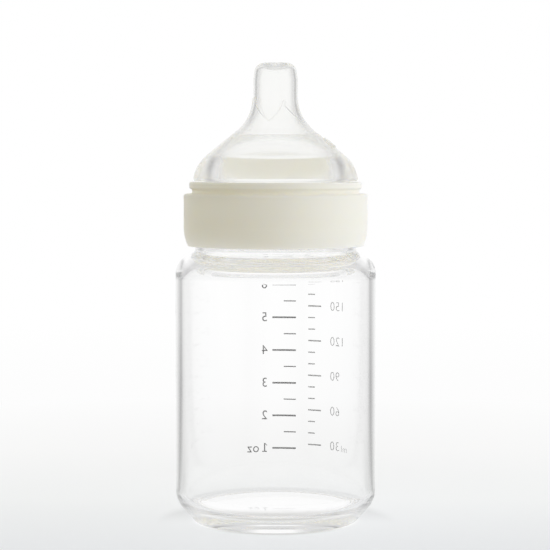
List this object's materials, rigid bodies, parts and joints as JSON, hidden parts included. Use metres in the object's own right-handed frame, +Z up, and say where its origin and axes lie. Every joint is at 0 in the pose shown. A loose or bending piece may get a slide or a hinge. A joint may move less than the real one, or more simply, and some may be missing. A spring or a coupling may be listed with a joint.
{
  "type": "baby bottle",
  "caption": "Wide-neck glass baby bottle with a printed volume scale, a clear silicone teat and a cream screw collar that clamps the teat on the rim.",
  "frame": {"origin": "under the middle of the foot ring, on the surface that the bottle stands on", "axes": "+Z up along the bottle's axis; -Y towards the viewer of the picture; the volume scale is printed on the +Y side"},
  "size_m": [0.062, 0.0621, 0.1416],
  "materials": {
    "clear_glass": "fire-polished clear borosilicate glass",
    "cream_plastic": "satin moulded polypropylene",
    "clear_silicone": "clear, slightly milky moulded silicone",
    "ml_ink": "fired grey print",
    "oz_ink": "fired dark grey print"
  },
  "bodies": {
    "bottle": {"glass_bottle": "clear_glass", "ml_scale_marks": "ml_ink", "oz_scale_marks": "oz_ink"},
    "teat": {"teat": "clear_silicone"},
    "collar": {"screw_collar": "cream_plastic"}
  },
  "joints": [
    {"name": "teat_rise", "type": "slide", "parent": "bottle", "child": "teat", "axis": [0, 0, 1], "range_m": [0, 0.013]},
    {"name": "collar_turn", "type": "hinge", "parent": "teat", "child": "collar", "pos_m": [0, 0, 0.095], "axis": [0, 0, 1], "range_deg": [0, 936]}
  ],
  "couplings": [
    {"joint": "teat_rise", "follows": "collar_turn", "m_per_rad": 0.00079577}
  ]
}
